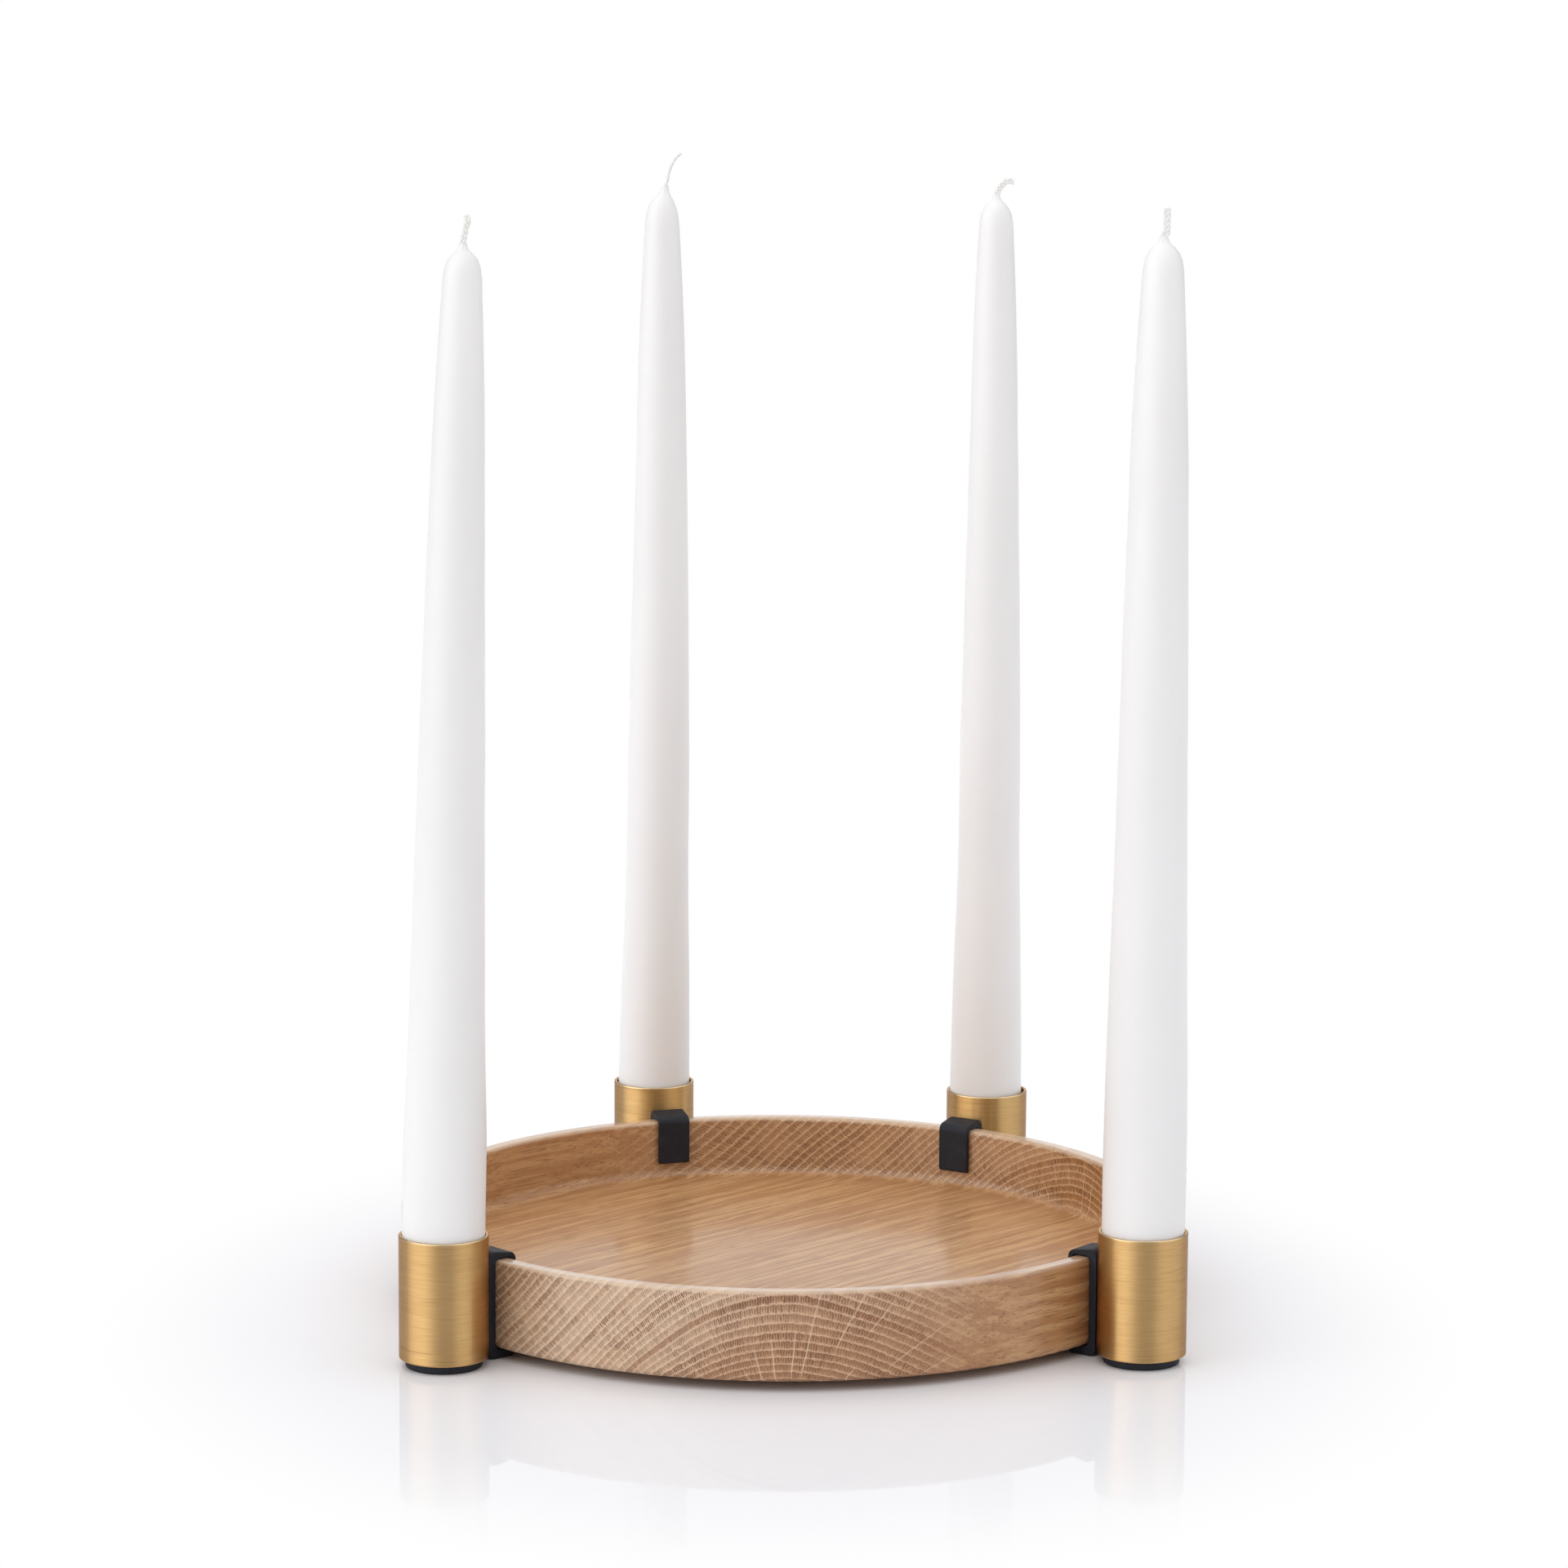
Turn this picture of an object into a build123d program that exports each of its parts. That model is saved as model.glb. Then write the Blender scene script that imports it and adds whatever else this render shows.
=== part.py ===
from build123d import *

import os
from math import cos, radians, sin, sqrt, tan

# Advent candle holder: a turned wooden tray whose rim carries four candle cups on rubber clips.
# Millimetres, +Z up. The origin is the centre of the tray's flat floor, where things are laid.

# Tray
tray_diameter = 214.0
tray_height = 24.5
rim_wall = 5.0
floor_thickness = 7.0
rim_edge_radius = 1.1
base_edge_radius = 2.0
floor_corner_radius = 3.2

# Candles: the foot is the standard candle size, and each candle's own length differs a little
candle_diameter = 22.2
candle_length = 290.0
candle_depth = 24.2
crown_length = 60.0
crown_diameter = 14.2
shoulder_length = 8.0
shoulder_diameter = 10.2
neck_wall = 0.5
candle_foot_radius = 0.8
taper_swell = 0.2
crown_swell = 0.22
shoulder_swell = 0.7

# Wicks
wick_diameter = 1.5
wick_clearance = 0.05
wick_bend_radius = 1.6

# Candle cups
cup_wall = 0.85
cup_base = 9.0
cup_edge_radius = 0.4
lip_edge_radius = 0.25
socket_corner_radius = 0.8
candle_clearance = 0.1
seat_clearance = 0.05

# Rim clips
clip_width = 9.6
clip_thickness = 2.5
clip_top_fall = 1.4
clip_saddle_leg = 2.2
clip_inner_leg = 1.5
clip_lip_reach = 6.0
clip_leg_floor_gap = 4.8
clip_bend_radius = 2.2
clip_end_radius = 0.8
clip_side_radius = 0.4
saddle_depth = 0.35
saddle_clearance = 0.05
rim_clearance = 0.2

# Clip screws, countersunk from the tray side
screw_diameter = 3.0
screw_length = 8.0
screw_head_diameter = 5.5
screw_head_land = 0.25
screw_sunk = 0.3
screw_tip_chamfer = 0.5
screw_clearance = 0.05
socket_across_flats = 2.0
socket_depth = 1.1
drill_run_out = 0.6

# Foot pads
pad_inset = 1.75
pad_thickness = 2.4
pad_edge_radius = 0.5

# The four holders: angle round the rim and candle lean towards +X in degrees, how much longer the candle
# is than candle_length and thicker at its crown than crown_diameter, and the bends of its wick as steps
# (sideways, up) from the candle's neck
holders = {
    "front_left": dict(
        angle=-137.96, lean=1.35, longer=-4.2, thicker=0.0, wick=((0, 1.5), (1.2, 6.4), (1.0, 8.1))
    ),
    "front_right": dict(
        angle=-36.99, lean=0.2, longer=-1.7, thicker=1.2, wick=((0, 0.6), (0.7, 2.2), (0.8, 8.1))
    ),
    "rear_right": dict(
        angle=59.37, lean=0.0, longer=2.3, thicker=-0.4, wick=((0, 0.8), (2.0, 4.1), (4.7, 4.8))
    ),
    "rear_left": dict(
        angle=108.86, lean=0.4, longer=3.8, thicker=0.2, wick=((0, 1.0), (2.0, 7.2), (4.6, 10.6))
    ),
}

# Sizes that follow from the ones above
tray_radius = tray_diameter / 2
rim_inner_radius = tray_radius - rim_wall
rim_top = tray_height - floor_thickness
tray_bottom = -floor_thickness
table_level = tray_bottom - rim_clearance - clip_thickness
rim_round = min(rim_edge_radius, 0.45 * rim_wall)

candle_radius = candle_diameter / 2
socket_radius = candle_radius + candle_clearance
cup_radius = socket_radius + cup_wall
largest_lean = max(holder["lean"] for holder in holders.values())
foot_play = candle_depth * tan(radians(largest_lean))
foot_radius = candle_radius - foot_play
seat_rise = seat_clearance + candle_radius * sin(radians(largest_lean))
cup_height = cup_base + seat_rise + candle_depth
cup_bottom = table_level + pad_thickness
cup_top = cup_bottom + cup_height
lip_round = min(lip_edge_radius, 0.45 * cup_wall)
pad_radius = cup_radius - pad_inset
channel_radius = wick_diameter / 2 + wick_clearance
neck_radius = channel_radius + neck_wall

clip_outer_face = tray_radius + rim_clearance + clip_saddle_leg
clip_inner_face = sqrt(rim_inner_radius**2 - (clip_width / 2) ** 2) - rim_clearance
clip_top = rim_top + rim_clearance + clip_thickness
clip_end_round = min(clip_end_radius, 0.45 * clip_inner_leg)
cup_circle = clip_outer_face - saddle_depth + saddle_clearance + cup_radius

screw_height = cup_bottom + cup_base / 2
screw_head_face = tray_radius + rim_clearance + screw_sunk
screw_place = Pos(screw_head_face, 0, screw_height) * Rot(0, 90, 0)


def outline(corners):
    """Closed face in the XZ plane from (x, z, corner radius) triples."""
    face = make_face(Polyline(*[(x, z) for x, z, radius in corners], close=True))
    for x, z, radius in corners:
        if radius > 0:
            corner = face.vertices().sort_by_distance((x, z, 0))[0]
            face = fillet(corner, radius)
    return Plane.XZ * face


def turned(corners):
    """Solid of revolution about Z from an outline that touches the axis or stands off it."""
    return revolve(outline(corners), Axis.Z)


def make_tray():
    return turned([
        (0, tray_bottom, 0),
        (tray_radius, tray_bottom, base_edge_radius),
        (tray_radius, rim_top, rim_round),
        (rim_inner_radius, rim_top, rim_round),
        (rim_inner_radius, 0, floor_corner_radius),
        (0, 0, 0),
    ])


def screw_hole(length, clearance):
    """Countersunk screw shape along +X, its head face at the screw's own place."""
    head = screw_head_diameter / 2 + clearance
    shank = screw_diameter / 2 + clearance
    shape = turned([
        (0, 0, 0),
        (head, 0, 0),
        (head, screw_head_land, 0),
        (shank, screw_head_land + head - shank, 0),
        (shank, length, 0),
        (0, length, 0),
    ])
    return screw_place * shape


def make_screw():
    shape = screw_hole(screw_length, 0)
    tip = shape.edges().sort_by(Axis.X)[-1]
    shape = chamfer(tip, screw_tip_chamfer)
    socket = extrude(RegularPolygon(socket_across_flats / 2, 6, major_radius=False), socket_depth)
    return shape - screw_place * socket


def screw_clearance_shape():
    """Room for the screw in the clip and the cup, with the drill's run-out past its tip."""
    hole = screw_hole(screw_length + drill_run_out, screw_clearance)
    well_radius = screw_head_diameter / 2 + screw_clearance
    head_well = Cylinder(well_radius, screw_sunk, align=(Align.CENTER, Align.CENTER, Align.MAX))
    return hole + screw_place * head_well


def make_cup():
    cup = turned([
        (0, 0, 0),
        (cup_radius, 0, cup_edge_radius),
        (cup_radius, cup_height, lip_round),
        (socket_radius, cup_height, lip_round),
        (socket_radius, cup_base, socket_corner_radius),
        (0, cup_base, 0),
    ])
    return Pos(cup_circle, 0, cup_bottom) * cup - screw_clearance_shape()


def make_clip():
    """Rubber strap bent as a C round the rim: its top falls inwards, and it is hollowed for the cup."""
    rim_face = tray_radius + rim_clearance
    lip_end = tray_radius - clip_lip_reach
    leg_back = clip_inner_face - clip_inner_leg
    section = outline([
        (lip_end, table_level, clip_end_round),
        (clip_outer_face, table_level, clip_bend_radius),
        (clip_outer_face, clip_top, clip_bend_radius),
        (leg_back, clip_top - clip_top_fall, clip_bend_radius),
        (leg_back, clip_leg_floor_gap, clip_end_round),
        (clip_inner_face, clip_leg_floor_gap, clip_end_round),
        (clip_inner_face, rim_top + rim_clearance, rim_round),
        (rim_face, rim_top + rim_clearance, rim_round),
        (rim_face, tray_bottom - rim_clearance, base_edge_radius),
        (lip_end, tray_bottom - rim_clearance, clip_end_round),
    ])
    strap = extrude(section, clip_width / 2, both=True)
    sides = strap.faces().sort_by(Axis.Y)
    strap = fillet(sides[0].edges() + sides[-1].edges(), clip_side_radius)
    saddle = Pos(cup_circle, 0, (table_level + clip_top) / 2) * Cylinder(
        cup_radius + saddle_clearance, 2 * (clip_top - table_level)
    )
    return strap - saddle - screw_clearance_shape()


def make_foot_pad():
    pad = turned([
        (0, 0, 0),
        (pad_radius, 0, pad_edge_radius),
        (pad_radius, pad_thickness, 0),
        (0, pad_thickness, 0),
    ])
    return Pos(cup_circle, 0, table_level) * pad


def make_candle(length, thicker):
    """Taper candle standing on its foot at z = 0, with the wick's channel down its middle."""
    crown = (crown_diameter + thicker) / 2
    shoulder = (shoulder_diameter + thicker / 2) / 2
    crown_height, shoulder_height = length - crown_length, length - shoulder_length
    waist = ((candle_radius + crown) / 2 + taper_swell, (candle_depth + crown_height) / 2)
    middle = ((crown + shoulder) / 2 + crown_swell, (crown_height + shoulder_height) / 2)
    bulge_height = (shoulder_height + length) / 2 + shoulder_swell
    bulge = ((shoulder + neck_radius) / 2 + shoulder_swell, bulge_height)
    side = Polyline(
        (channel_radius, 0),
        (foot_radius - candle_foot_radius, 0),
        (foot_radius, candle_foot_radius),
        (candle_radius, candle_depth),
    )
    side += ThreePointArc((candle_radius, candle_depth), waist, (crown, crown_height))
    top = ThreePointArc((crown, crown_height), middle, (shoulder, shoulder_height))
    top += ThreePointArc((shoulder, shoulder_height), bulge, (neck_radius, length))
    inside = Polyline((neck_radius, length), (channel_radius, length), (channel_radius, 0))
    return revolve(Plane.XZ * make_face(side + top + inside), Axis.Z)


def make_wick(length, bends):
    """Wick from the candle's foot to its bent tip, along the candle's own axis."""
    points = [(0, 0, 0)] + [(x, 0, length + z) for x, z in bends]
    path = FilletPolyline(*points, radius=wick_bend_radius)
    return sweep(Plane((0, 0, 0), z_dir=path % 0) * Circle(wick_diameter / 2), path)


def candle_place(angle, lean):
    """Frame of a candle's foot: it leans about the middle of its cup's mouth."""
    mouth = Pos(cup_circle * cos(radians(angle)), cup_circle * sin(radians(angle)), cup_top)
    return mouth * Rot(0, lean, 0) * Pos(0, 0, -candle_depth)


def write(name, shape):
    shape.label = name
    export_step(shape, f"parts/{name}.step")
    print(name, "volume", round(shape.volume, 1))


os.makedirs("parts", exist_ok=True)
write("tray", make_tray())
cup, clip, screw, foot_pad = make_cup(), make_clip(), make_screw(), make_foot_pad()
for place, holder in holders.items():
    turn = Rot(0, 0, holder["angle"])
    write(f"{place}_cup", turn * cup)
    write(f"{place}_rim_clip", turn * clip)
    write(f"{place}_clip_screw", turn * screw)
    write(f"{place}_foot_pad", turn * foot_pad)
    stand = candle_place(holder["angle"], holder["lean"])
    length = candle_length + holder["longer"]
    write(f"{place}_candle", stand * make_candle(length, holder["thicker"]))
    write(f"{place}_wick", stand * make_wick(length, holder["wick"]))
print("table level", round(table_level, 3), "cup circle", round(cup_circle, 3))
print("cup top", round(cup_top, 3), "cup height", round(cup_height, 3))
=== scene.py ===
# %% [markdown]
# # Advent candle holder
# A turned oak tray carries four brass candle cups on black rubber clips, with a white taper candle in
# each cup. The solid parts come from the CAD frame. This lesson gives them their finishes, and
# models what the CAD leaves plain: the dipped candles and their braided wicks.

# %% Load the frame
import math

import bpy
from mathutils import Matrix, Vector


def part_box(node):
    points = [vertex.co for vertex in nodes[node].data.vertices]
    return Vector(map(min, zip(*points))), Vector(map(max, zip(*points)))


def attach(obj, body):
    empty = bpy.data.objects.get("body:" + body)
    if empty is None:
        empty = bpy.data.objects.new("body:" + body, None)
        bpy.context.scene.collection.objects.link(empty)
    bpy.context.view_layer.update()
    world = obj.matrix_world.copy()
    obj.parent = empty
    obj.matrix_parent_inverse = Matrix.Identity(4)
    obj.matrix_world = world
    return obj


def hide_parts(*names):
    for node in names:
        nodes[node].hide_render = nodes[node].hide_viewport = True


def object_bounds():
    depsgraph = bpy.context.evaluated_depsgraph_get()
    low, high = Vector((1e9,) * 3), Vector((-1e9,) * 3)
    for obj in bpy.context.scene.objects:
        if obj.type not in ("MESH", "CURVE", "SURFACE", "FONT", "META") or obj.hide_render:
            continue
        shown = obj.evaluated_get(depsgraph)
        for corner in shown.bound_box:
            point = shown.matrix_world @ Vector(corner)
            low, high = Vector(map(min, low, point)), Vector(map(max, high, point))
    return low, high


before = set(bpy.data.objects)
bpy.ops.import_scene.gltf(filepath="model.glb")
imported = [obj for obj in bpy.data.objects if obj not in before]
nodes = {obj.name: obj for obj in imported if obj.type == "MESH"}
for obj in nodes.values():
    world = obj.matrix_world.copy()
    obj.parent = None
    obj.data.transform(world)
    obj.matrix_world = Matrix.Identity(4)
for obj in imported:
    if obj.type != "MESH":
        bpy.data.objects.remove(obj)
cad_low, cad_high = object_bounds()
MM = 0.001
PLACES = ("front_left", "front_right", "rear_right", "rear_left")
scene = bpy.context.scene
scene.view_settings.view_transform = "Standard"
print("nodes", len(nodes), "CAD box", [round(v, 4) for v in (*cad_low, *cad_high)])

# %% [markdown]
# ## Camera
# The picture was taken with a long lens from a little above the rim, so the rims look like flat
# ellipses and the candles stay nearly upright. The camera stands straight in front of the tray. The
# Euler order ZYX turns it about its own axis first, which is the slight roll of the picture.

# %% Camera
CAMERA_PLACE = (-0.00012, -1.38705, 0.34990)
CAMERA_PITCH, CAMERA_ROLL = 8.7923, 0.3479

bpy.ops.object.camera_add(location=CAMERA_PLACE)
camera = bpy.context.object
camera.name = "photo_camera"
camera.rotation_mode = "ZYX"
camera.rotation_euler = (math.radians(90 - CAMERA_PITCH), 0, math.radians(CAMERA_ROLL))
camera.data.lens = 115.62
camera.data.sensor_width = 36
camera.data.clip_end = 50
scene.camera = camera
print("camera", tuple(round(v, 3) for v in camera.location), "lens", camera.data.lens)

# %% [markdown]
# ## Shader sums
# Finishes are easier to read as sums than as chains of boxes. Val stands for one socket, and adding
# or multiplying Vals adds Math nodes. Shade holds a node tree and adds any other node by its type,
# its settings and its inputs. Colours are written as screen values from 0 to 255, and a finish is
# built up like paint, in coats that each cover a share of what lies under them.

# %% Helpers for node trees
class Val:
    """A value that changes over a surface: one output socket of a node tree."""

    def __init__(self, shade, socket):
        self.shade, self.socket = shade, socket

    def maths(self, operation, *others):
        return self.shade.maths(operation, self, *others)

    def out(self, name):
        return Val(self.shade, self.socket.node.outputs[name])

    def __add__(self, other):
        return self.maths("ADD", other)

    __radd__ = __add__

    def __sub__(self, other):
        return self.maths("SUBTRACT", other)

    def __rsub__(self, other):
        return self.shade.maths("SUBTRACT", other, self)

    def __mul__(self, other):
        return self.maths("MULTIPLY", other)

    __rmul__ = __mul__

    def __truediv__(self, other):
        return self.maths("DIVIDE", other)

    def between(self, low, high):
        """0 at low and 1 at high, with a soft step from one to the other."""
        settings = {"interpolation_type": "SMOOTHSTEP"}
        inputs = {"Value": self, "From Min": low, "From Max": high}
        return self.shade.node("ShaderNodeMapRange", settings, inputs)


class Shade:
    """A node tree, started empty."""

    def __init__(self, owner):
        owner.use_nodes = True
        self.owner, self.tree = owner, owner.node_tree
        self.tree.nodes.clear()

    def node(self, kind, settings=None, inputs=None, output=0):
        made = self.tree.nodes.new(kind)
        for name, value in (settings or {}).items():
            if name == "stops":
                ramp = made.color_ramp.elements
                while len(ramp) < len(value):
                    ramp.new(1.0)
                for stop, (position, colour) in zip(ramp, value):
                    stop.position, stop.color = position, colour
            else:
                setattr(made, name, value)
        for key, value in (inputs or {}).items():
            if isinstance(value, Val):
                self.tree.links.new(value.socket, made.inputs[key])
            else:
                made.inputs[key].default_value = value
        return Val(self, made.outputs[output]) if made.outputs else None

    def maths(self, operation, *values):
        return self.node("ShaderNodeMath", {"operation": operation}, dict(enumerate(values)))

    def layers(self, colour, *coats):
        """A colour with coats over it, one after the other, each a (share, colour) pair."""
        for share, coat in coats:
            inputs = {0: share, 6: colour, 7: coat}
            colour = self.node("ShaderNodeMix", {"data_type": "RGBA"}, inputs, output=2)
        return colour

    def stretch(self, vector, scale):
        return self.node("ShaderNodeVectorMath", {"operation": "MULTIPLY"}, {0: vector, 1: scale})

    def noise(self, vector, detail, roughness=0.5):
        inputs = {"Vector": vector, "Scale": 1.0, "Detail": detail, "Roughness": roughness}
        return self.node("ShaderNodeTexNoise", None, inputs)

    def millimetres(self, centre=(0, 0, 0), turn=0.0):
        """Object coordinates in millimetres, turned about Z and then measured from centre."""
        place = self.node("ShaderNodeTexCoord", output="Object")
        inputs = {"Vector": place, "Scale": (1000, 1000, 1000), "Rotation": (0, 0, turn)}
        inputs["Location"] = tuple(-v for v in centre)
        return self.node("ShaderNodeMapping", None, inputs)

    def bump(self, height, distance, strength, **more):
        inputs = {"Height": height, "Distance": distance, "Strength": strength, **more}
        return self.node("ShaderNodeBump", None, inputs)

    def surface(self, **inputs):
        """The finished surface: sockets are named with underscores for spaces."""
        sockets = {name.replace("_", " "): value for name, value in inputs.items()}
        skin = self.node("ShaderNodeBsdfPrincipled", None, sockets)
        self.node("ShaderNodeOutputMaterial", None, {"Surface": skin})
        return self.owner


def new_finish(name):
    return Shade(bpy.data.materials.new(name))


def tone(red, green, blue):
    """A colour for a socket, from its value on screen."""
    light = [v / 255 for v in (red, green, blue)]
    return (*(v / 12.92 if v <= 0.04045 else ((v + 0.055) / 1.055) ** 2.4 for v in light), 1.0)


def paint(piece, finish):
    for slot in piece.material_slots:
        slot.material = finish
    if not piece.material_slots:
        piece.data.materials.append(finish)


print("helpers ready")

# %% [markdown]
# ## Oak
# The tray is turned from one board, so its wall shows the ends of the growth rings at the front left
# and the back right, and long fibres elsewhere. A flat picture of wood can't do that. Here the log
# itself is described: a heart line under the tray, and two coordinates about it, the distance from
# the heart and the bearing. Whatever face the lathe cut then shows the right pattern. The rings are
# arches, tightly curved over the heart and straighter beside it, and the rays fan out from a pith
# that lies a little higher. The fibres run off the heart line, as they do in a tree that grew with a
# twist.

# %% Oak: the log
HEART_TURN, FIBRE_TURN = math.radians(-118), math.radians(-133)
HEART = (0.0, 51.0, -52.0)
ARCH_SLOPE, ARCH_ROUND, PITH_RISE = 1.07, 32.0, 26.0
WANDER, RIPPLE = 9.0, 0.9

oak = new_finish("oak_oiled")
log = oak.millimetres(HEART, -HEART_TURN)
log_axes = oak.node("ShaderNodeSeparateXYZ", None, {"Vector": log})
along, across, above = log_axes.out("X"), log_axes.out("Y"), log_axes.out("Z")
wander = oak.noise(oak.stretch(log, (0.005, 0.022, 0.022)), 1.0)
ripple = oak.noise(oak.stretch(log, (0.05, 1.2, 1.2)), 2.0)
arch = (across * across * ARCH_SLOPE**2 + ARCH_ROUND**2).maths("SQRT") - ARCH_ROUND
from_heart = above + arch + (wander - 0.5) * WANDER + (ripple - 0.5) * RIPPLE
bearing = across.maths("ARCTAN2", above)
above_pith = above - PITH_RISE
ray_bearing = across.maths("ARCTAN2", above_pith)
ray_reach = (across * across + above_pith * above_pith).maths("SQRT")
print("oak: heart line", HEART, "mm, fibres turned", round(math.degrees(FIBRE_TURN)), "degrees")

# %% [markdown]
# ## Oak: end grain and long grain
# The wall faces the grain in some places and runs with it in others. On a turned wall the facing
# direction is the direction from the tray's middle, so the share of end grain can be worked out from
# the place alone: it is large where that direction agrees with the fibres, and only on the wall.

# %% Oak: share of end grain
WALL_RADIUS, WALL_BLEND = 100.5, 1.5
END_FROM, END_TO = 0.22, 0.62
FIBRE_BEND = 3.0

spot = oak.millimetres(turn=-FIBRE_TURN)
spot_axes = oak.node("ShaderNodeSeparateXYZ", None, {"Vector": spot})
out_x, out_y, up = spot_axes.out("X"), spot_axes.out("Y"), spot_axes.out("Z")
from_middle = (out_x * out_x + out_y * out_y).maths("SQRT")
facing = (out_x / from_middle).maths("ABSOLUTE")
on_wall = from_middle.between(WALL_RADIUS, WALL_RADIUS + WALL_BLEND)
end_grain = facing.between(END_FROM, END_TO) * on_wall
bend = (oak.noise(oak.stretch(spot, (0.03, 0.05, 0.05)), 1.0) - 0.5) * FIBRE_BEND
board = oak.node("ShaderNodeCombineXYZ", None, {0: out_x, 1: out_y + bend, 2: up + bend})
print("end grain shows beyond", WALL_RADIUS, "mm from the middle")

# %% [markdown]
# ## Oak: rings, pores and rays
# The ring count grows with a power of the distance, which keeps the rings about equally wide. Each
# ring starts with a pale line and deepens outwards. Dark pores stand in it as short radial dashes:
# the ring is cut into small steps, and each step has one dash with its own width and start. Rays are
# thin pale lines straight out from the pith: every sector of the log has one, at its own bearing, and
# it comes and goes with the distance.

# %% Oak: rings, pores and rays
RING_POWER, RING_COUNT, RING_FUZZ = 0.54, 5.62, 0.30
DASH_STEP, DASH_WOBBLE, DASH_SHIFT = 0.62, 1.6, 60.0
DASH_NARROW, DASH_SPREAD, DASH_SOFT = 0.16, 0.22, 0.08
SECTORS, SECTOR_SHIFT, RAY_SWAY = 7.0, 7.3, 0.12
RAY_HALF, RAY_EDGE = 0.06, 0.19

ring = from_heart.maths("POWER", RING_POWER) * RING_COUNT
ring_number = ring.maths("FLOOR")
ring_own = oak.node("ShaderNodeTexWhiteNoise", {"noise_dimensions": "1D"}, {"W": ring_number})
fuzz = oak.noise(oak.stretch(log, (0.15, 1.8, 1.8)), 1.0)
in_ring = ring - ring_number + (fuzz - 0.5) * RING_FUZZ
ring_line = (1 - in_ring.between(0.04, 0.20)).maths("MAXIMUM", in_ring.between(0.90, 1.02))
late = in_ring.between(0.10, 0.85)

ring_radius = ((ring_number + 0.5) / RING_COUNT).maths("POWER", 1 / RING_POWER)
wobble = oak.noise(oak.stretch(log, (0.10, 0.9, 0.9)), 2.0)
dash_place = bearing * ring_radius / DASH_STEP + ring_own * DASH_SHIFT
dash_place = dash_place + (wobble - 0.5) * DASH_WOBBLE
dash_number = dash_place.maths("FLOOR")
dash_key = oak.node("ShaderNodeCombineXYZ", None, {0: dash_number, 1: ring_number})
dash_own = oak.node("ShaderNodeTexWhiteNoise", {"noise_dimensions": "2D"}, {"Vector": dash_key})
dash_half = DASH_NARROW + DASH_SPREAD * dash_own
off_dash = (dash_place - dash_number - 0.5).maths("ABSOLUTE")
dashes = 1 - off_dash.between(dash_half - DASH_SOFT, dash_half + DASH_SOFT)
dash_start = (in_ring + 0.30 * dash_own).between(0.15, 0.55)
dash_end = in_ring.between(0.84, 0.98)
dashes = dashes * dash_start * (1 - dash_end)
crowd = oak.noise(oak.stretch(log, (0.02, 0.10, 0.10)), 2.0)
dashes = dashes * (0.65 + 0.35 * ring_own) * (0.60 + 0.40 * crowd.between(0.35, 0.60))

ray_line = oak.node("ShaderNodeCombineXYZ", None, {1: from_heart * 0.10, 2: along * 0.004})
sway = oak.noise(ray_line, 1.0)
sector = ray_bearing * SECTORS + (sway - 0.5) * RAY_SWAY
sector_number = sector.maths("FLOOR")
sector_own = oak.node("ShaderNodeTexWhiteNoise", {"noise_dimensions": "1D"}, {"W": sector_number})
ray_place = 0.2 + 0.6 * sector_own
off_ray = (sector - sector_number - ray_place).maths("ABSOLUTE") * ray_reach / SECTORS
ray_sheet = oak.node(
    "ShaderNodeCombineXYZ", None,
    {0: sector_number * SECTOR_SHIFT, 1: from_heart * 0.06, 2: along * 0.02},
)
rays = (1 - off_ray.between(RAY_HALF, RAY_EDGE)) * oak.noise(ray_sheet, 0.0).between(0.45, 0.57)
print("rings, pores and rays set out")

# %% [markdown]
# ## Oak: long fibres and colour
# Where the tool ran with the grain the wall is smooth and warmer, with fine streaks only, so the
# dashes and ring lines fade out there. The end grain is painted greyer and paler, partly its own
# colour and partly painted light, as the light falls on those walls. Near the heart the wood is
# browner, and more so to one side. One dry year left a brown ring. A thin clear coat over the oil is
# thickest on the burnished rim, whose top is also painted paler as a painted highlight.

# %% Oak finish
BROWN_RING = 54.6
CORE_ASIDE, CORE_FROM, CORE_TO = 0.40, 50.0, 84.0
RIM_FROM, RIM_TO = 16.3, 17.2
INSIDE_RADIUS, OUTSIDE_RADIUS = 103.0, 105.5

fibres = oak.noise(oak.stretch(board, (0.06, 2.6, 2.6)), 3.0, 0.6)
streaks = oak.noise(oak.stretch(board, (0.012, 0.45, 0.45)), 3.0, 0.6)
open_pores = oak.noise(oak.stretch(board, (0.09, 2.4, 2.4)), 1.0).between(0.60, 0.68)
clouds = oak.noise(oak.stretch(log, (0.012, 0.05, 0.05)), 2.0)
core_wood = 1 - (from_heart - across * CORE_ASIDE).between(CORE_FROM, CORE_TO)
brown_ring = 1 - (ring - BROWN_RING).maths("ABSOLUTE").between(0.30, 0.70)
rim = up.between(RIM_FROM, RIM_TO)
inside = 1 - from_middle.between(INSIDE_RADIUS, OUTSIDE_RADIUS)
rough_end = end_grain * (1 - 0.7 * rim)

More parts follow.
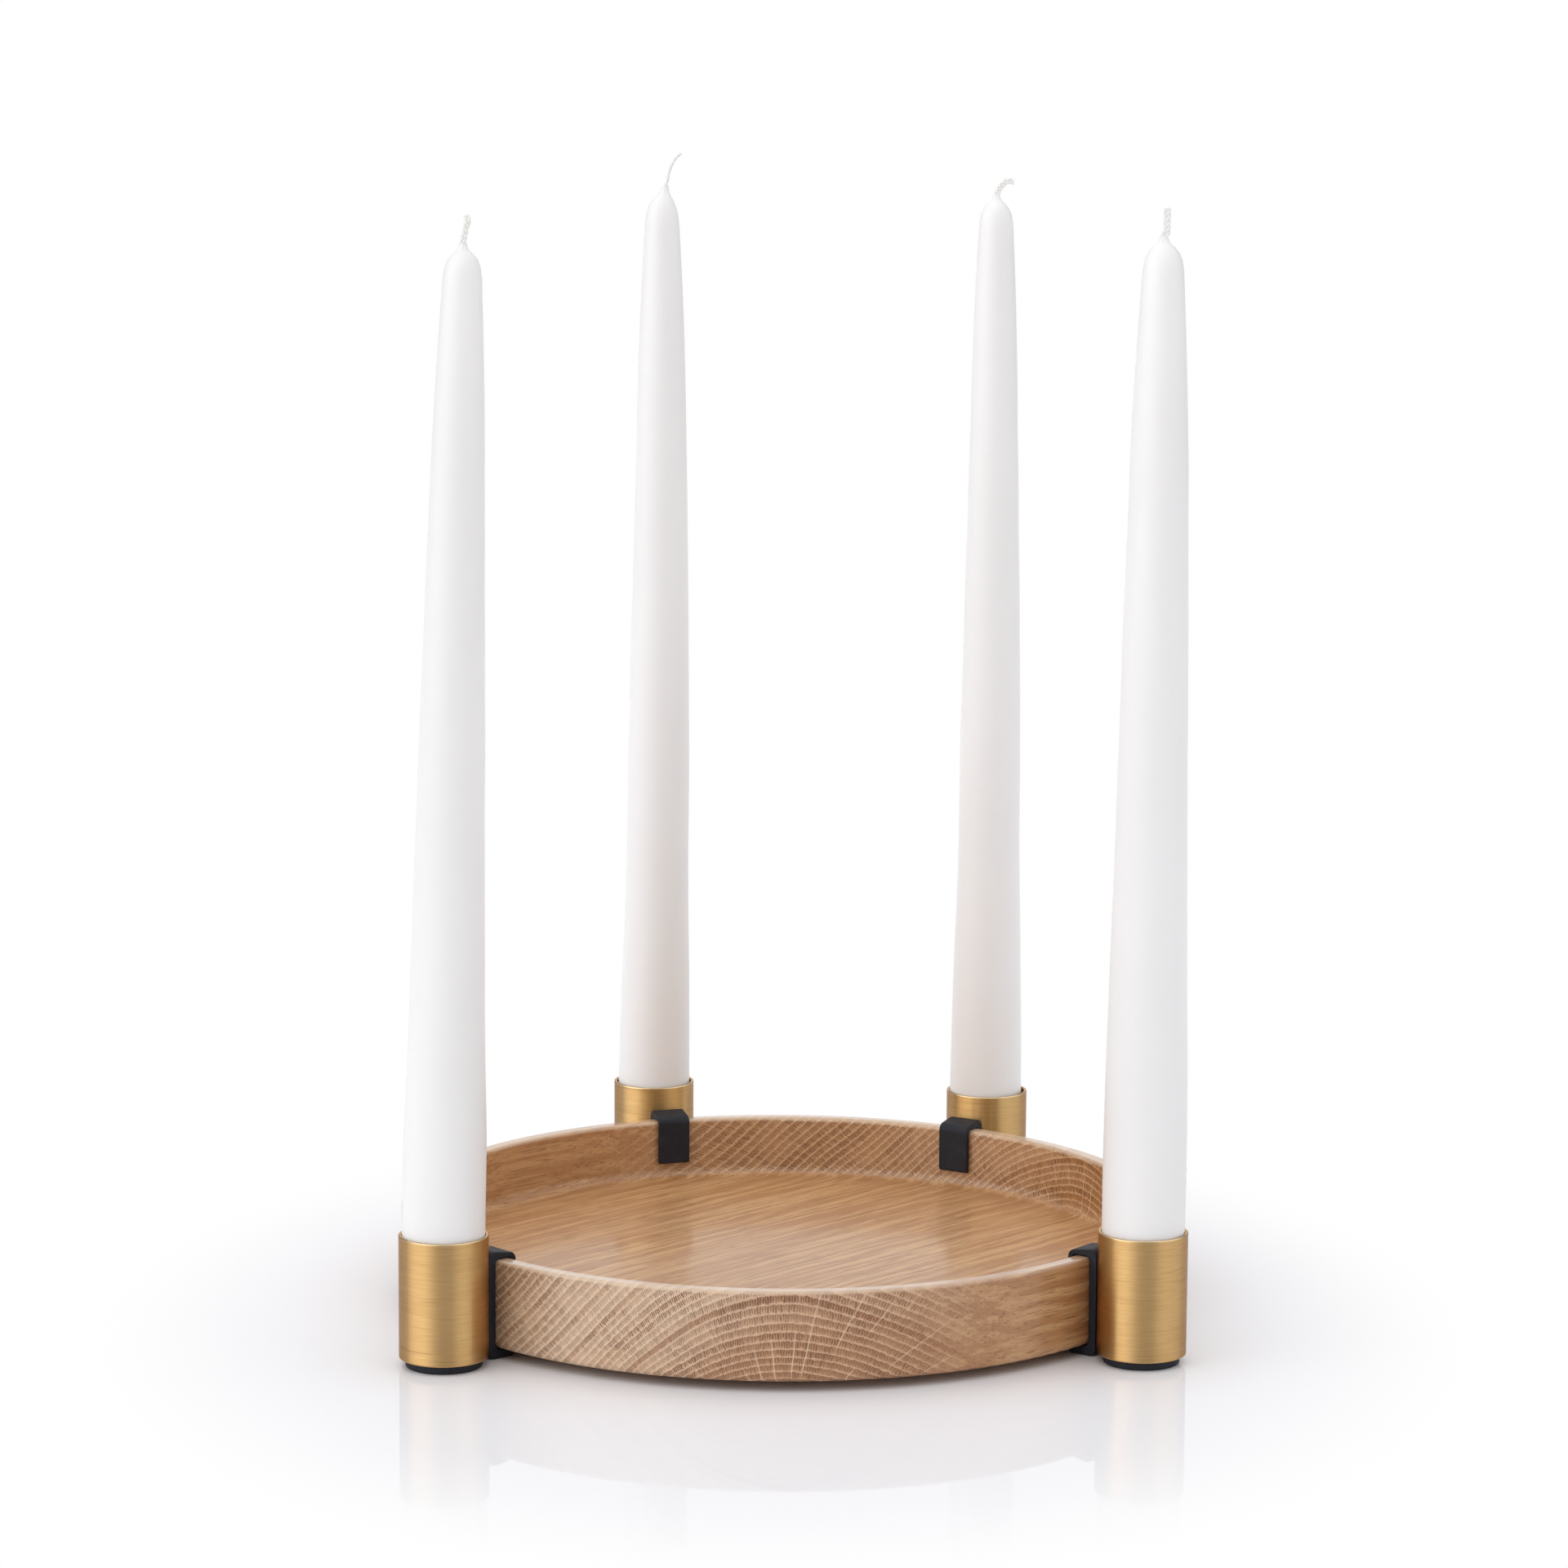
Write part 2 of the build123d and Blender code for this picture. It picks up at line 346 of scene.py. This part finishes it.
long_tone = oak.layers(
    tone(214, 170, 122),
    (streaks.between(0.38, 0.60), tone(176, 125, 82)),
    ((1 - inside) * 0.30, tone(152, 104, 68)),
)
# painted light in part: the end grain's pale grey base stands partly for how light falls on those
# walls
end_tone = oak.layers(
    tone(225, 196, 166),
    (ring_own, tone(215, 181, 149)),
    (core_wood * 0.90, tone(187, 136, 94)),
    (late * (0.18 + 0.34 * core_wood), tone(140, 90, 55)),
    (brown_ring * 0.45, tone(150, 94, 54)),
)
body_tone = oak.layers(
    long_tone,
    (end_grain, end_tone),
    (inside * (0.22 + 0.30 * end_grain), tone(194, 136, 68)),
    (clouds.between(0.35, 0.70) * (0.40 - 0.25 * end_grain), tone(192, 144, 98)),
    (fibres.between(0.42, 0.75) * (0.36 - 0.18 * end_grain), tone(144, 98, 60)),
    (open_pores * (0.50 - 0.34 * end_grain), tone(116, 76, 46)),
    (dashes * rough_end * 0.84, tone(98, 56, 32)),
    (ring_line * rough_end * 0.42, tone(229, 202, 174)),
    (rays * rough_end * (0.08 + 0.57 * core_wood), tone(234, 208, 178)),
    # painted highlight: the rim's top band is painted paler
    (rim * 0.25, tone(238, 216, 192)),
)

grain_height = fibres * 0.3 - dashes * rough_end - open_pores * 0.8
oak_finish = oak.surface(
    Base_Color=body_tone,
    Roughness=0.42 + dashes * rough_end * 0.15 + (fibres - 0.5) * 0.10,
    Normal=oak.bump(grain_height, 0.00006, 0.6),
    Specular_IOR_Level=0.45,
    Coat_Weight=0.40 + 0.60 * rim,
    Coat_Roughness=0.13,
)
paint(nodes["tray"], oak_finish)
print("oak on the tray")

# %% [markdown]
# ## Brass
# The cups are turned from bar and brushed while they spin, so fine lines run round them and light
# stands on them in upright bands. Each cup gets its own copy of the finish, measured from its own
# axis. The anisotropic shine is turned a quarter, so that it spreads up and down across the brushing.
# Grooves from a turning tool are saw-shaped, so the whole wall shines as if it leaned back a little.
# The lip is burnished smoother and painted paler, a painted highlight. Some cups kept more turning
# marks than others, and a thin lacquer whitens the light bands.

# %% Brass finish
CUP_MARKS = {"front_left": 1.0, "front_right": 0.35, "rear_right": 0.6, "rear_left": 0.6}
MARK_STEP, GROOVE_LEAN = 0.24, (0, 0, 0.12)
LIP_FROM, LIP_TO = 0.5, 0.2
CUP_SHIFT, LINE_SHIFT = 40.0, 100.0


def brass_finish(place, number):
    low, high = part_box(f"{place}_cup")
    middle, tall = (low + high) / 2, (high.z - low.z) / MM
    brass = new_finish(f"brass_brushed_{place}")
    cup = brass.millimetres((middle.x / MM, middle.y / MM, low.z / MM))
    axes = brass.node("ShaderNodeSeparateXYZ", None, {"Vector": cup})
    x, y, height = axes.out("X"), axes.out("Y"), axes.out("Z")
    turn = y.maths("ARCTAN2", x)
    wrapped = brass.node(
        "ShaderNodeCombineXYZ", None,
        {0: turn.maths("COSINE"), 1: turn.maths("SINE"), 2: height + CUP_SHIFT * number},
    )
    brushing = brass.noise(brass.stretch(wrapped, (1.2, 1.2, 5.0)), 3.0, 0.65)
    bands = brass.noise(brass.stretch(wrapped, (0.5, 0.5, 1.1)), 3.0, 0.75).between(0.56, 0.72)
    stain = brass.noise(brass.stretch(wrapped, (1.0, 1.0, 0.12)), 2.0)
    line = (height / MARK_STEP).maths("FLOOR") + LINE_SHIFT * number
    line_own = brass.node("ShaderNodeTexWhiteNoise", {"noise_dimensions": "1D"}, {"W": line})
    worn = brass.noise(brass.stretch(wrapped, (0.9, 0.9, 0.5)), 1.0)
    marks = line_own.between(0.86, 0.98) * worn.between(0.42, 0.60) * CUP_MARKS[place]
    wall = brass.node("ShaderNodeNewGeometry", output="Normal")
    leaning = brass.node("ShaderNodeVectorMath", {"operation": "ADD"}, {0: wall, 1: GROOVE_LEAN})
    lip = height.between(tall - LIP_FROM, tall - LIP_TO)
    brass_tone = brass.layers(
        tone(209, 170, 110),
        (brushing.between(0.30, 0.75), tone(192, 152, 94)),
        (bands * 0.32 * CUP_MARKS[place], tone(170, 127, 72)),
        (stain.between(0.45, 0.75) * 0.25, tone(186, 142, 84)),
        (marks * 0.60, tone(142, 100, 54)),
        # painted highlight: the lip is painted paler
        (lip * 0.7, tone(240, 218, 178)),
    )
    return brass.surface(
        Base_Color=brass_tone,
        Metallic=1.0,
        Roughness=0.36 + (brushing - 0.5) * 0.14 + marks * 0.05 - lip * 0.20,
        Anisotropic=0.85,
        Anisotropic_Rotation=0.25,
        Specular_Tint=tone(200, 162, 130),
        Coat_Weight=0.75,
        Coat_Roughness=0.30,
        Normal=brass.bump(brushing - marks * 0.5, 0.000012, 0.5, Normal=leaning),
    )


for number, place in enumerate(PLACES):
    paint(nodes[f"{place}_cup"], brass_finish(place, number))
print("brass on", len(PLACES), "cups")

# %% [markdown]
# ## Rubber and steel
# The clips and foot pads are moulded black rubber: nearly black with a blue cast, dull, with a fine
# grain from the mould. The countersunk clip screws are plain steel. They sit between the rim and the
# cups, so nothing of them shows while the clips are on the rim.

# %% Rubber and steel finishes
rubber = new_finish("rubber_moulded")
spot = rubber.millimetres()
mould = rubber.noise(rubber.stretch(spot, (2.4, 2.4, 2.4)), 3.0, 0.65)
bloom = rubber.noise(rubber.stretch(spot, (0.25, 0.25, 0.25)), 2.0)
rubber_tone = rubber.layers(
    tone(22, 24, 32),
    (mould.between(0.35, 0.75), tone(34, 37, 47)),
    (bloom.between(0.45, 0.75) * 0.4, tone(44, 47, 59)),
)
rubber_finish = rubber.surface(
    Base_Color=rubber_tone,
    Roughness=0.58 + (mould - 0.5) * 0.2,
    Normal=rubber.bump(mould, 0.00014, 0.8),
    Specular_IOR_Level=0.35,
)

steel = new_finish("steel_zinc")
spot = steel.millimetres()
steel_grain = steel.noise(steel.stretch(spot, (2.0, 2.0, 6.0)), 2.0)
steel_finish = steel.surface(
    Base_Color=steel.layers(tone(176, 178, 182), (steel_grain, tone(204, 205, 207))),
    Metallic=1.0,
    Roughness=0.30 + steel_grain * 0.15,
)
for place in PLACES:
    paint(nodes[f"{place}_rim_clip"], rubber_finish)
    paint(nodes[f"{place}_foot_pad"], rubber_finish)
    paint(nodes[f"{place}_clip_screw"], steel_finish)
print("rubber and steel done")

# %% [markdown]
# ## Wax and wick finishes
# The candles are dipped white paraffin: a little light goes into the wax, the skin is smooth but not
# polished, and the colour drifts very slightly. The wicks are cotton soaked in the same wax.

# %% Wax finishes
wax = new_finish("wax_white")
spot = wax.millimetres()
drift = wax.noise(wax.stretch(spot, (0.05, 0.05, 0.012)), 2.0)
skin = wax.noise(wax.stretch(spot, (0.30, 0.30, 0.10)), 3.0)
wax_finish = wax.surface(
    Base_Color=wax.layers(tone(245, 244, 244), (drift.between(0.3, 0.7), tone(241, 240, 240))),
    Roughness=0.36 + (skin - 0.5) * 0.16,
    Normal=wax.bump(skin, 0.0001, 0.35),
    Subsurface_Weight=0.55,
    Subsurface_Radius=(1.0, 0.94, 0.89),
    Subsurface_Scale=0.005,
)

cotton = new_finish("wick_waxed_cotton")
spot = cotton.millimetres()
thread = cotton.noise(cotton.stretch(spot, (9.0, 9.0, 3.0)), 2.0)
cotton_finish = cotton.surface(
    Base_Color=cotton.layers(tone(248, 246, 243), (thread, tone(241, 239, 235))),
    Roughness=0.5 + (thread - 0.5) * 0.2,
    Normal=cotton.bump(thread, 0.00002, 0.5),
)
print("wax and cotton ready")

# %% [markdown]
# ## Candles
# A taper candle is dipped again and again, so it is thick at the foot, narrows to a rounded shoulder,
# and ends in a small peak where the wax climbs the wick. It could be a lathe profile, but a dipped
# candle is never quite straight. So it is described by rings: where each one stands on the way up, as
# the candle leans in its cup and bows a little, and how wide it is. Lengths are in millimetres, and
# the pairs in PEAK are the drop from the candle's top and the diameter there.

# %% Candle sizes
FOOT_RADIUS, FOOT_ROUND = 10.5, 0.8
CROWN_DROP, CROWN_DIAMETER = 60.0, 14.2
TAPER_SWELL, CROWN_SWELL = 0.2, 0.22
TAPER_STEPS, CROWN_STEPS = 30, 10
PEAK = (
    (8.0, 10.2), (6.5, 9.8), (5.2, 9.3), (4.1, 8.5), (3.2, 7.6), (2.4, 6.4), (1.7, 5.1), (1.1, 3.7),
    (0.5, 2.8), (-0.2, 2.3), (-1.0, 1.9),
)
NOD_DROP, DIP_START = 4, 8
CANDLES = {
    "front_left": dict(
        lean=1.35, bow=-0.35, nod=0.0, aside=0.0,
        mouth=11.1, thicker=0.0, peak=1.0, dip=(24, 0.36, 16),
    ),
    "front_right": dict(
        lean=0.2, bow=0.0, nod=0.0, aside=0.0,
        mouth=11.1, thicker=1.2, peak=1.0, dip=(35, 0.40, 40),
    ),
    "rear_right": dict(
        lean=0.0, bow=0.2, nod=0.0, aside=-0.35,
        mouth=10.75, thicker=-0.4, peak=1.0, dip=(70, -0.36, 26),
    ),
    "rear_left": dict(
        lean=0.4, bow=0.6, nod=0.8, aside=0.0,
        mouth=10.75, thicker=0.2, peak=1.4, dip=(62, -0.42, 30),
    ),
}


def cup_mouth(place):
    """Middle of a cup's mouth in millimetres, where its candle leans about."""
    low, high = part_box(f"{place}_cup")
    return Vector(((low.x + high.x) / 2, (low.y + high.y) / 2, high.z)) / MM


MOUTHS = {place: cup_mouth(place) for place in PLACES}
FEET = {place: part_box(f"{place}_candle")[0].z / MM for place in PLACES}
TOPS = {place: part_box(f"{place}_candle")[1].z / MM for place in PLACES}


def candle_axis(place, height):
    """Sideways place of a candle's middle at a height, both in millimetres."""
    shape, mouth, top = CANDLES[place], MOUTHS[place], TOPS[place]
    part = (height - mouth.z) / (top - mouth.z)
    bend = 4 * shape["bow"] * max(part, 0) * max(1 - part, 0)
    nod = max(height - top + NOD_DROP, 0) / NOD_DROP * shape["nod"]
    lean = (height - mouth.z) * math.tan(math.radians(shape["lean"]))
    return mouth.x + shape["aside"] + lean + bend + nod


def dip_change(place, rise):
    """How much thicker the dipping left a candle at a height above its cup, in millimetres."""
    middle, change, reach = CANDLES[place]["dip"]
    free = 1 - math.exp(-((rise / DIP_START) ** 2))
    return change * math.exp(-(((rise - middle) / reach) ** 2)) * free


def candle_rings(place):
    """(height, radius) of a candle's rings from foot to peak, in millimetres."""
    foot, top, mouth = FEET[place], TOPS[place], MOUTHS[place].z
    shape = CANDLES[place]
    shoulder_drop, shoulder_diameter = PEAK[0]
    crown = (CROWN_DIAMETER + shape["thicker"]) / 2
    shoulder = (shoulder_diameter + shape["thicker"] / 2) / 2
    crown_height, shoulder_height = top - CROWN_DROP, top - shoulder_drop * shape["peak"]
    rings = [(foot, FOOT_RADIUS - FOOT_ROUND), (foot + FOOT_ROUND, FOOT_RADIUS)]
    stretches = [
        (mouth, shape["mouth"], crown_height, crown, TAPER_SWELL, TAPER_STEPS),
        (crown_height, crown, shoulder_height, shoulder, CROWN_SWELL, CROWN_STEPS),
    ]
    for start, wide, end, narrow, swell, steps in stretches:
        for step in range(steps):
            t = step / steps
            height = start + (end - start) * t
            radius = wide + (narrow - wide) * t + 4 * swell * t * (1 - t)
            rings.append((height, radius + dip_change(place, height - mouth)))
    for drop, diameter in PEAK:
        stretched = drop * shape["peak"] if drop > 0 else drop
        rings.append((top - stretched, shoulder * diameter / shoulder_diameter))
    return rings


print("candle tops", [round(candle_rings(place)[-1][0], 1) for place in PLACES])

# %% [markdown]
# ## Dipping
# A circle is drawn at the foot and extruded upwards ring by ring, and every new ring is moved and
# scaled about its own middle. A weak displacement then gives the wax its slow dents. It fades out at
# the cup, where the candle has to fit, and at the peak. These lengths are in metres.

# %% Candle pieces
SIDES, CANDLE_WELD, CANDLE_CREASE = 72, 0.000005, math.radians(50)
DENT_SIZE, DENT_DEPTH = 0.028, 0.0003
DENTS_FROM, DENTS_RISE = 0.002, 0.03
DENTS_TO, DENTS_FALL = 0.006, 0.02


def select_only(piece):
    bpy.ops.object.select_all(action="DESELECT")
    piece.select_set(True)
    bpy.context.view_layer.objects.active = piece


def apply_all(piece):
    select_only(piece)
    for modifier in list(piece.modifiers):
        bpy.ops.object.modifier_apply(modifier=modifier.name)


def settle(piece):
    """Puts a finished piece's place into its mesh."""
    select_only(piece)
    bpy.ops.object.transform_apply(location=True, rotation=True, scale=True)


def dip_candle(place):
    rings = candle_rings(place)
    depth = MOUTHS[place].y * MM
    height, radius = rings[0]
    bpy.ops.object.select_all(action="DESELECT")
    start = (candle_axis(place, height) * MM, depth, height * MM)
    bpy.ops.mesh.primitive_circle_add(
        vertices=SIDES, radius=radius * MM, fill_type="NGON", location=start
    )
    candle = bpy.context.object
    candle.name = f"{place}_dipped_candle"
    bpy.ops.object.mode_set(mode="EDIT")
    bpy.ops.mesh.select_all(action="SELECT")
    for next_height, next_radius in rings[1:]:
        aside = candle_axis(place, next_height) - candle_axis(place, height)
        step = (aside * MM, 0, (next_height - height) * MM)
        bpy.ops.mesh.extrude_region_move(TRANSFORM_OT_translate={"value": step})
        middle = (candle_axis(place, next_height) * MM, depth, next_height * MM)
        grow = next_radius / radius
        bpy.ops.transform.resize(value=(grow, grow, 1), center_override=middle)
        height, radius = next_height, next_radius
    bpy.ops.mesh.select_all(action="SELECT")
    bpy.ops.mesh.remove_doubles(threshold=CANDLE_WELD)
    bpy.ops.mesh.normals_make_consistent(inside=False)
    bpy.ops.object.mode_set(mode="OBJECT")
    settle(candle)
    return candle


def uneven_dipping(candle, place):
    """Slow dents in the wax above the cup, as dipping leaves them."""
    mouth, top = MOUTHS[place].z * MM, TOPS[place] * MM
    free = candle.vertex_groups.new(name="free_wax")
    for vertex in candle.data.vertices:
        rise = min(max((vertex.co.z - mouth - DENTS_FROM) / DENTS_RISE, 0), 1)
        fall = min(max((top - DENTS_TO - vertex.co.z) / DENTS_FALL, 0), 1)
        free.add([vertex.index], rise * fall, "REPLACE")
    dents = bpy.data.textures.new(f"{place}_dents", "CLOUDS")
    dents.noise_scale, dents.noise_depth = DENT_SIZE, 1
    push = candle.modifiers.new("dents", "DISPLACE")
    push.texture, push.texture_coords, push.vertex_group = dents, "LOCAL", free.name
    push.strength, push.mid_level = DENT_DEPTH, 0.5
    apply_all(candle)


for place in PLACES:
    candle = dip_candle(place)
    uneven_dipping(candle, place)
    select_only(candle)
    bpy.ops.object.shade_smooth_by_angle(angle=CANDLE_CREASE)
    paint(candle, wax_finish)
    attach(candle, f"{place}_taper")
    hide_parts(f"{place}_candle")
    paint(nodes[f"{place}_candle"], wax_finish)
    print(candle.name, "rings", len(candle_rings(place)), "faces", len(candle.data.polygons))

# %% [markdown]
# ## Wicks
# A candle wick is a flat braid of cotton, stiff with wax, and each one was bent on its own way out of
# the box. It could be a bent strip, but then the braid would have to be painted on. Three strands
# are drawn as thick curves that swing past each other along the wick's bend, and one plain core runs
# from there down through the candle.

# %% Wick shape
BRAID_WIDTH, BRAID_THICKNESS, BRAID_PITCH, BRAID_START = 0.53, 0.15, 4.2, 6.0
STRANDS, STRAND_RADIUS, STRAND_WELD = 3, 0.34, 0.000002
CORE_FOOT, CORE_OVERLAP, WICK_CREASE = 0.5, 1, math.radians(60)
WICKS = {
    "front_left": dict(
        edge_on=False, wide=1.05,
        bends=((0, 1.3), (0.48, 3.6), (0.87, 5.5), (1.29, 6.7), (0.87, 8.0)),
    ),
    "front_right": dict(
        edge_on=False, wide=1.40,
        bends=((0.16, 1.0), (0.65, 2.1), (0.70, 5.9), (0.73, 8.1)),
    ),
    "rear_right": dict(
        edge_on=False, wide=1.15,
        bends=((0.19, 1.2), (1.03, 2.9), (2.15, 4.2), (3.3, 4.8), (5.0, 4.7)),
    ),
    "rear_left": dict(
        edge_on=True, wide=1.0,
        bends=((0.28, 1.3), (0.7, 2.6), (1.1, 4.7), (1.97, 7.1), (3.2, 9.2), (4.6, 10.5)),
    ),
}


def smooth_path(points, steps=10):
    """Points along a smooth curve through the given ones."""
    padded = [2 * points[0] - points[1], *points, 2 * points[-1] - points[-2]]
    path = []
    for a, b, c, d in zip(padded, padded[1:], padded[2:], padded[3:]):
        for step in range(steps):
            t = step / steps
            curve, twist = 2 * a - 5 * b + 4 * c - d, 3 * b - a - 3 * c + d
            path.append(0.5 * (2 * b + (c - a) * t + curve * t**2 + twist * t**3))
    return [*path, points[-1]]


def wick_path(place):
    """The wick's middle line in millimetres, from inside the candle to its tip."""
    top, depth = TOPS[place], MOUTHS[place].y
    heights = (top - BRAID_START, top - BRAID_START / 2, top)
    start = [Vector((candle_axis(place, height), depth, height)) for height in heights]
    neck = start[-1]
    return smooth_path(start + [neck + Vector((x, 0, z)) for x, z in WICKS[place]["bends"]])


def thick_curve(name, points, radius):
    """A round strand through points in millimetres, as a closed mesh."""
    bpy.ops.object.select_all(action="DESELECT")
    bpy.ops.curve.primitive_nurbs_path_add(location=(0, 0, 0))
    strand = bpy.context.object
    strand.name = name
    strand.data.splines.clear()
    line = strand.data.splines.new("POLY")
    line.points.add(len(points) - 1)
    for knot, point in zip(line.points, points):
        knot.co = (*(point * MM), 1.0)
    strand.data.bevel_depth, strand.data.bevel_resolution = radius * MM, 3
    strand.data.use_fill_caps = True
    select_only(strand)
    bpy.ops.object.convert(target="MESH")
    return bpy.context.object


def braid_strand(place, number):
    path = wick_path(place)
    broad_first = not WICKS[place]["edge_on"]
    points, run = [], 0.0
    for before, here, after in zip([path[0], *path], path, [*path[1:], path[-1]]):
        run += (here - before).length
        ahead = (after - before).normalized()
        beside, toward = Vector((ahead.z, 0, -ahead.x)), Vector((0, -1, 0))
        phase = 2 * math.pi * (run / BRAID_PITCH + number / STRANDS)
        swing = BRAID_WIDTH * WICKS[place]["wide"] * math.sin(phase)
        dodge = BRAID_THICKNESS * math.sin(2 * phase)
        broad, thin = (beside, toward) if broad_first else (toward, beside)
        points.append(here + broad * swing + thin * dodge)
    return thick_curve(f"{place}_strand_{number}", points, STRAND_RADIUS)


def braid_wick(place):
    strands = [braid_strand(place, number) for number in range(STRANDS)]
    heights = (FEET[place] + CORE_FOOT, MOUTHS[place].z, TOPS[place] - BRAID_START + CORE_OVERLAP)
    core = [Vector((candle_axis(place, height), MOUTHS[place].y, height)) for height in heights]
    strands.append(thick_curve(f"{place}_core", core, 2 * STRAND_RADIUS))
    bpy.ops.object.select_all(action="DESELECT")
    for strand in strands:
        strand.select_set(True)
    bpy.context.view_layer.objects.active = strands[0]
    bpy.ops.object.join()
    wick = bpy.context.object
    wick.name = f"{place}_braided_wick"
    bpy.ops.object.mode_set(mode="EDIT")
    bpy.ops.mesh.select_all(action="SELECT")
    bpy.ops.mesh.remove_doubles(threshold=STRAND_WELD)
    bpy.ops.mesh.normals_make_consistent(inside=False)
    bpy.ops.object.mode_set(mode="OBJECT")
    settle(wick)
    return wick


for place in PLACES:
    wick = braid_wick(place)
    select_only(wick)
    bpy.ops.object.shade_smooth_by_angle(angle=WICK_CREASE)
    paint(wick, cotton_finish)
    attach(wick, f"{place}_taper")
    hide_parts(f"{place}_wick")
    paint(nodes[f"{place}_wick"], cotton_finish)
    print(wick.name, "faces", len(wick.data.polygons))

# %% [markdown]
# ## Floor and light
# The picture was taken on a white gloss sheet in a white studio, so the floor is a matt white under a
# clear gloss, and the shadow and a faint mirror image stay on it. A little way off, the sheet fades
# to plain white. The studio is the world: a broad soft box at the left, a weaker one at the right, a
# dim gap where the camera stands, and a white backdrop, which the camera and shiny surfaces see as
# plain white. WALLS gives the brightness by bearing, in degrees from the camera towards the right.

# %% Studio
WALLS = (
    (-170, 1.0), (-158, 0.24), (-112, 0.28), (-100, 0.55), (-86, 1.7), (-76, 2.02), (-46, 2.02),
    (-32, 1.3), (-15, 0.44), (0, 0.18), (24, 0.22), (44, 0.9), (62, 1.0), (102, 0.78), (122, 0.28),
    (158, 0.24), (170, 1.0),
)
CEILING_FROM, CEILING_TO, CEILING_GLOW = 0.45, 0.75, 1.18
BACKDROP_HALF, BACKDROP_EDGE = 0.20, 0.34
FLOOR_RADIUS, FLOOR_SIDES, FLOOR_SHINE = 6.0, 96, 0.6
NEAR_SHIFT, NEAR_SHAPE = (0, 0.03, 0), (1.25, 1, 1)
NEAR_FROM, NEAR_TO = 0.155, 0.245
MIRROR_FROM, MIRROR_TO = 0.28, 0.60
WHITE = (1, 1, 1, 1)


def studio_world():
    world = bpy.data.worlds.new("studio")
    scene.world = world
    sky = Shade(world)
    way = sky.node("ShaderNodeTexCoord", output="Generated")
    axes = sky.node("ShaderNodeSeparateXYZ", None, {"Vector": way})
    x, y, up = axes.out("X"), axes.out("Y"), axes.out("Z")
    bearing = x.maths("ARCTAN2", 0 - y) / (2 * math.pi) + 0.5
    stops = [(degrees / 360 + 0.5, (glow, glow, glow, 1.0)) for degrees, glow in WALLS]
    walls = sky.node("ShaderNodeValToRGB", {"stops": stops}, {"Fac": bearing})
    ceiling = up.between(CEILING_FROM, CEILING_TO)
    room = walls * (1 - ceiling) + ceiling * CEILING_GLOW
    ray = sky.node("ShaderNodeLightPath")
    seen = ray.out("Is Camera Ray").maths("MAXIMUM", ray.out("Is Transmission Ray"))
    backdrop = (1 - x.maths("ABSOLUTE").between(BACKDROP_HALF, BACKDROP_EDGE)) * y.between(0.0, 0.3)
    seen = seen.maths("MAXIMUM", backdrop * ray.out("Is Glossy Ray"))
    strength = room * (1 - seen) + seen
    back = sky.node("ShaderNodeBackground", None, {"Color": WHITE, "Strength": strength})
    sky.node("ShaderNodeOutputWorld", None, {"Surface": back})


def studio_floor():
    bpy.ops.object.select_all(action="DESELECT")
    bpy.ops.mesh.primitive_circle_add(
        vertices=FLOOR_SIDES, radius=FLOOR_RADIUS, fill_type="NGON", location=(0, 0, cad_low.z)
    )
    floor = bpy.context.object
    floor.name = "studio_floor"
    settle(floor)
    sheet = new_finish("floor_white")
    ray = sheet.node("ShaderNodeLightPath")
    mirrored = ray.out("Is Glossy Ray").maths("MAXIMUM", ray.out("Is Transmission Ray"))
    spot = sheet.node("ShaderNodeTexCoord", output="Object")
    away = sheet.node("ShaderNodeVectorMath", {"operation": "LENGTH"}, {0: spot}, output="Value")
    matt = sheet.node("ShaderNodeBsdfDiffuse", None, {"Color": tone(243, 243, 247)})
    gloss = sheet.node("ShaderNodeBsdfGlossy", None, {"Color": WHITE, "Roughness": 0.025})
    shine = sheet.node("ShaderNodeFresnel", None, {"IOR": 1.45})
    skin = sheet.node("ShaderNodeMixShader", None, {0: shine * FLOOR_SHINE, 1: matt, 2: gloss})
    white = sheet.node("ShaderNodeEmission", None, {"Color": WHITE, "Strength": 1.0})
    oval = {"Vector": spot, "Location": NEAR_SHIFT, "Scale": NEAR_SHAPE}
    oval = sheet.node("ShaderNodeMapping", None, oval)
    near = sheet.node("ShaderNodeVectorMath", {"operation": "LENGTH"}, {0: oval}, output="Value")
    fade = near.between(NEAR_FROM, NEAR_TO) * ray.out("Is Camera Ray")
    fade = fade.maths("MAXIMUM", away.between(MIRROR_FROM, MIRROR_TO) * mirrored)
    whole = sheet.node("ShaderNodeMixShader", None, {0: fade, 1: skin, 2: white})
    sheet.node("ShaderNodeOutputMaterial", None, {"Surface": whole})
    paint(floor, sheet.owner)


studio_world()
studio_floor()
print("studio ready")
